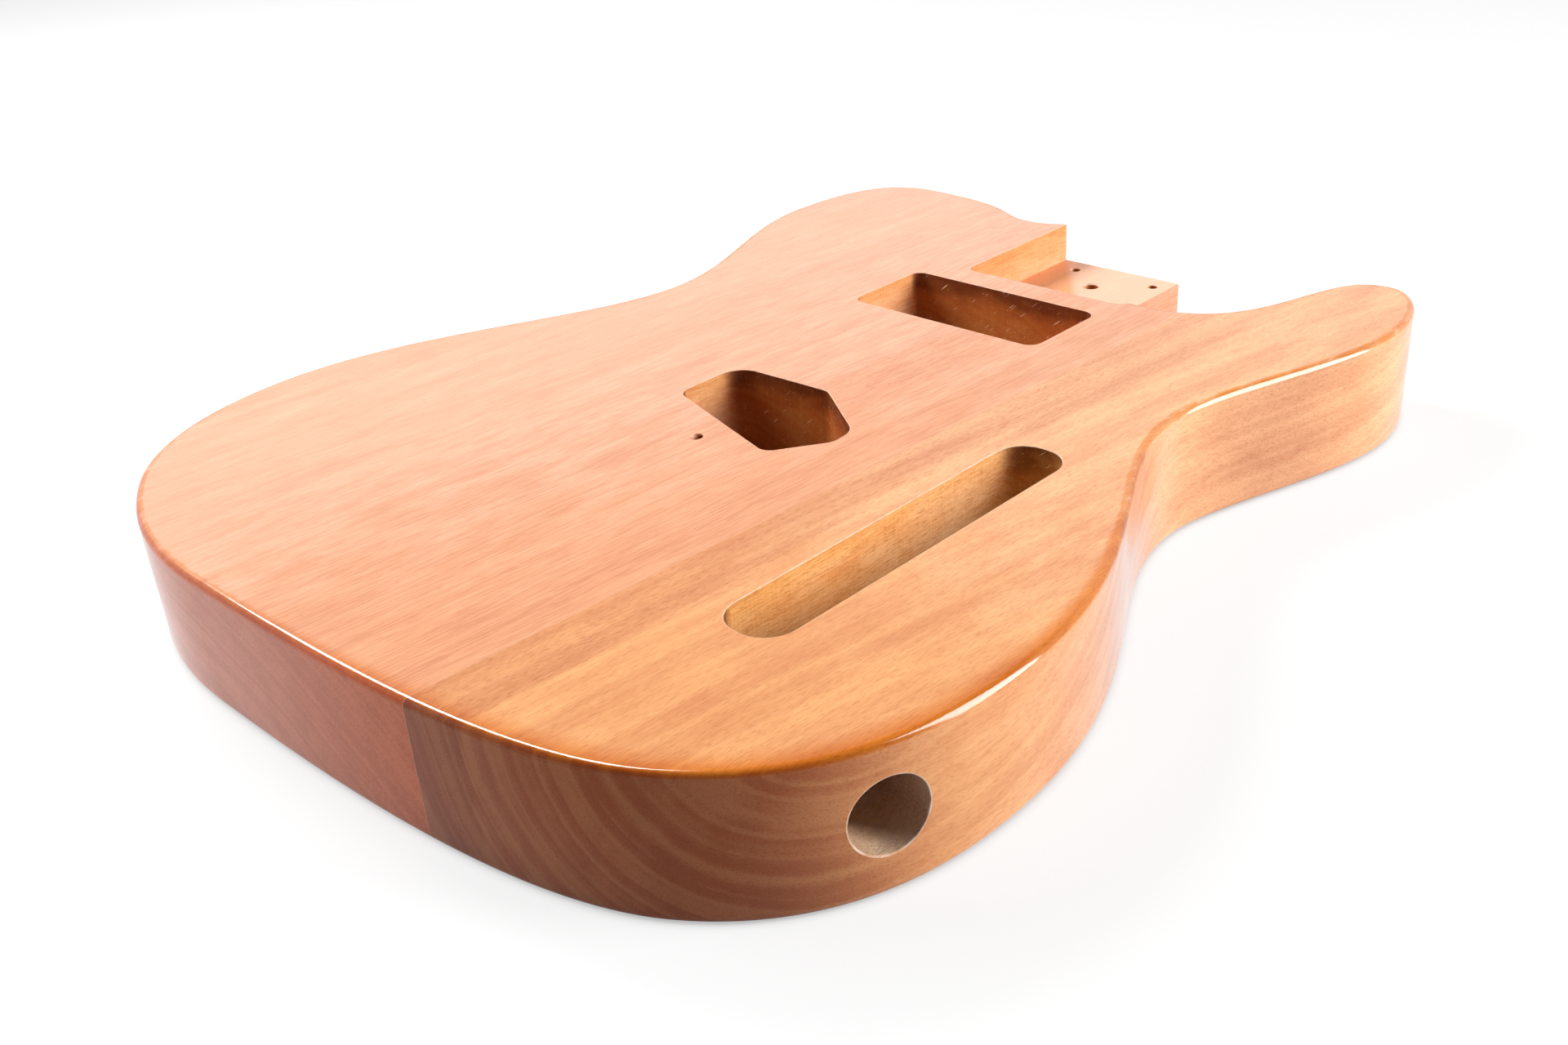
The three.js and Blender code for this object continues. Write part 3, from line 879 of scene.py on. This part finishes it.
TREBLE_BARE = {
    **TREBLE_WOOD,
    "Ribbon Strength": 0.25,
    "Streak Strength": 0.6,
    "Fleck Strength": 0.8,
    "Light Wood": (0.96, 0.81, 0.57, 1),
    "Dark Wood": (0.84, 0.57, 0.31, 1),
    "End Tint": (0.5, 0.36, 0.18, 1),
}
treble_board = sawn_from_block("treble_board", -LENGTH, -GLUE_HALF)
dress(
    treble_board,
    lacquered("treble_lacquered", TREBLE_WOOD),
    routed("treble_routed", TREBLE_BARE),
    eased("treble_eased_rim", TREBLE_WOOD, TREBLE_WORN, share=0.8),
    bored("treble_bored", TREBLE_BARE),
)
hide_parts("treble_side_board")
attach(treble_board, "root")

# Glue line. The thin film of cured wood glue between the boards, cut flush with them and
# lacquered over, so that it shows only as a hairline.
GLUE_PALE, GLUE_DARK = (0.72, 0.4, 0.2, 1), (0.55, 0.27, 0.12, 1)
glue_film = sawn_from_block("glue_film", -GLUE_HALF, GLUE_HALF)
bpy.data.objects.remove(block)
cured_glue, glue_tree, glue_shader = new_material("cured_glue")
glue_place, _ = in_millimetres(glue_tree)
speckle = grain_noise(glue_tree, glue_place, (6, 1, 3), 2.0).outputs[0]
darker = ramp(glue_tree, speckle, 0.3, 0.7)
glue_colour = blend_colour(glue_tree, darker, GLUE_PALE, GLUE_DARK)
glue_roughness = ramp(glue_tree, speckle, 0.3, 0.7, 0.1, 0.2)
glue_tree.links.new(glue_colour, glue_shader.inputs["Base Color"])
glue_tree.links.new(glue_roughness, glue_shader.inputs["Roughness"])
glue_film.data.materials.clear()
glue_film.data.materials.append(cured_glue)
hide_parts("glue_line")
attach(glue_film, "root")

# Studio. A white floor and a white surround, seen at the photograph's angle. A soft box on each
# side gives the light, strips mirrored by the gloss draw the edges, and a little light comes
# from everywhere.
CAMERA_PLACE = Vector((-351.707, -349.764, 255.472)) * MM
CAMERA_YAW, CAMERA_PITCH, CAMERA_ROLL = 0.80483, 0.48982, -0.07417
LENS, SENSOR, NEAREST_SEEN = 35.85, 36.0, 0.01


def towards(azimuth, elevation):
    """Unit vector of a direction that is given by its angles in radians."""
    level = math.cos(elevation)
    return Vector((math.cos(azimuth) * level, math.sin(azimuth) * level, math.sin(elevation)))


look = towards(CAMERA_YAW, -CAMERA_PITCH)
level_right = Vector((math.sin(CAMERA_YAW), -math.cos(CAMERA_YAW), 0))
level_up = level_right.cross(look)
right = level_right * math.cos(CAMERA_ROLL) + level_up * math.sin(CAMERA_ROLL)
up = level_up * math.cos(CAMERA_ROLL) - level_right * math.sin(CAMERA_ROLL)
camera_data = bpy.data.cameras.new("camera")
camera_data.lens = LENS
camera_data.sensor_width = SENSOR
camera_data.clip_start = NEAREST_SEEN
camera = new_object("camera", camera_data)
camera.matrix_world = Matrix(
    (
        (right.x, up.x, -look.x, CAMERA_PLACE.x),
        (right.y, up.y, -look.y, CAMERA_PLACE.y),
        (right.z, up.z, -look.z, CAMERA_PLACE.z),
        (0, 0, 0, 1),
    )
)
bpy.context.scene.camera = camera


LAMP_DISTANCE = 1.3


def soft_box(name, azimuth, elevation, size, radiance, lights=True, mirrored=True):
    """Area lamp that faces the body from a direction in degrees, with a plain radiance.

    It lights the surfaces, or is mirrored by their gloss, or both.
    """
    width, height = size
    data = bpy.data.lights.new(name, "AREA")
    data.shape = "RECTANGLE"
    data.size, data.size_y = width, height
    data.energy = radiance * math.pi * width * height
    made = new_object(name, data)
    away = towards(math.radians(azimuth), math.radians(elevation))
    made.location = away * LAMP_DISTANCE
    made.rotation_euler = away.to_track_quat("Z", "Y").to_euler()
    made.visible_diffuse = lights
    made.visible_glossy = mirrored


soft_box("left_soft_box", 118, 33, (1.0, 0.8), 6.4, mirrored=False)
soft_box("edge_strip", 89, 45, (0.4, 0.42), 22.0)
soft_box("edge_strip_above", 86, 61, (0.4, 0.3), 22.0, lights=False)
soft_box("right_soft_box", -60, 23, (0.55, 0.75), 15.3, mirrored=False)
soft_box("tall_right_strip", -60, 27, (0.6, 1.3), 15.0, lights=False)

FORWARD = (0.69, 0.72, 0.0)
WHITE = (1, 1, 1, 1)
FILL_LIGHT = 0.12


def seen_or_mirrored(tree):
    """Whether a ray comes from the camera, and whether from a gloss or through glass."""
    path = tree.nodes.new("ShaderNodeLightPath").outputs
    sharp = maths(tree, "MAXIMUM", path["Is Glossy Ray"], path["Is Transmission Ray"])
    return path["Is Camera Ray"], sharp


world = bpy.data.worlds.new("studio")
bpy.context.scene.world = world
world.use_nodes = True
sky = world.node_tree
sky.nodes.clear()
seen, mirrored = seen_or_mirrored(sky)
direction = sky.nodes.new("ShaderNodeTexCoord").outputs["Generated"]
# what the gloss mirrors is bright ahead of the camera, dim behind it and overhead
ahead = distance_along(sky, direction, FORWARD)
height = component(sky, direction, 2)
wall_ahead = ramp(sky, ahead, -0.4, 0.3, 0.25, 1.0)
wall_tone = maths(sky, "MULTIPLY", wall_ahead, ramp(sky, height, 0.5, 0.78, 1.0, 0.12))
plain = put(sky, "ShaderNodeBackground", {"Color": WHITE, "Strength": FILL_LIGHT})
white = put(sky, "ShaderNodeBackground", {"Color": WHITE, "Strength": 1.0})
wall = put(sky, "ShaderNodeBackground", {"Color": WHITE, "Strength": wall_tone})
inner = put(sky, "ShaderNodeMixShader", {0: mirrored, 1: plain.outputs[0], 2: wall.outputs[0]})
outer = put(sky, "ShaderNodeMixShader", {0: seen, 1: inner.outputs[0], 2: white.outputs[0]})
put(sky, "ShaderNodeOutputWorld", {0: outer.outputs[0]})

FLOOR_SPAN, FLOOR_DROP = 8.0, 0.2
CONTACT_REACH = 6.0
FLOOR_GREY, BOUNCE_GREY = (0.2, 0.2, 0.2, 1), (0.7, 0.7, 0.7, 1)
half, low = FLOOR_SPAN / 2, -FLOOR_DROP * MM
floor_corners = [(-half, -half, low), (half, -half, low), (half, half, low), (-half, half, low)]
floor_mesh = bpy.data.meshes.new("floor")
floor_mesh.from_pydata(floor_corners, [], [(0, 1, 2, 3)])
floor = new_object("floor", floor_mesh)
white_floor, ground, ground_shader = new_material("white_floor")
ground.nodes.remove(ground_shader)
seen, mirrored = seen_or_mirrored(ground)
# what the camera sees glows almost white, with painted contact shade close under the body
reach = {"Distance": CONTACT_REACH * MM}
open_share = put(ground, "ShaderNodeAmbientOcclusion", reach).outputs["AO"]
glow = ramp(ground, open_share, 0.1, 0.75, 0.45, 0.8)
shadow_part = put(ground, "ShaderNodeBsdfDiffuse", {"Color": FLOOR_GREY})
glow_part = put(ground, "ShaderNodeEmission", {"Color": WHITE, "Strength": glow})
shown = put(ground, "ShaderNodeAddShader", {0: shadow_part.outputs[0], 1: glow_part.outputs[0]})
# the gloss mirrors a floor that is dim off the butt end towards the camera, and bright elsewhere
ground_place = ground.nodes.new("ShaderNodeTexCoord").outputs["Object"]
beyond = ramp(ground, distance_along(ground, ground_place, FORWARD), -0.25, -0.08, 0.12, 1.0)
beside = ramp(ground, component(ground, ground_place, 0), -0.2, -0.09, 0.12, 1.0)
near_tone = maths(ground, "MAXIMUM", beyond, beside)
bounce = put(ground, "ShaderNodeBsdfDiffuse", {"Color": BOUNCE_GREY}).outputs[0]
gloss = put(ground, "ShaderNodeEmission", {"Color": WHITE, "Strength": near_tone}).outputs[0]
inner = put(ground, "ShaderNodeMixShader", {0: mirrored, 1: bounce, 2: gloss})
outer = put(ground, "ShaderNodeMixShader", {0: seen, 1: inner.outputs[0], 2: shown.outputs[0]})
ground.links.new(outer.outputs[0], ground.nodes["Material Output"].inputs[0])
floor.data.materials.append(white_floor)

bpy.context.scene.view_settings.view_transform = "Standard"
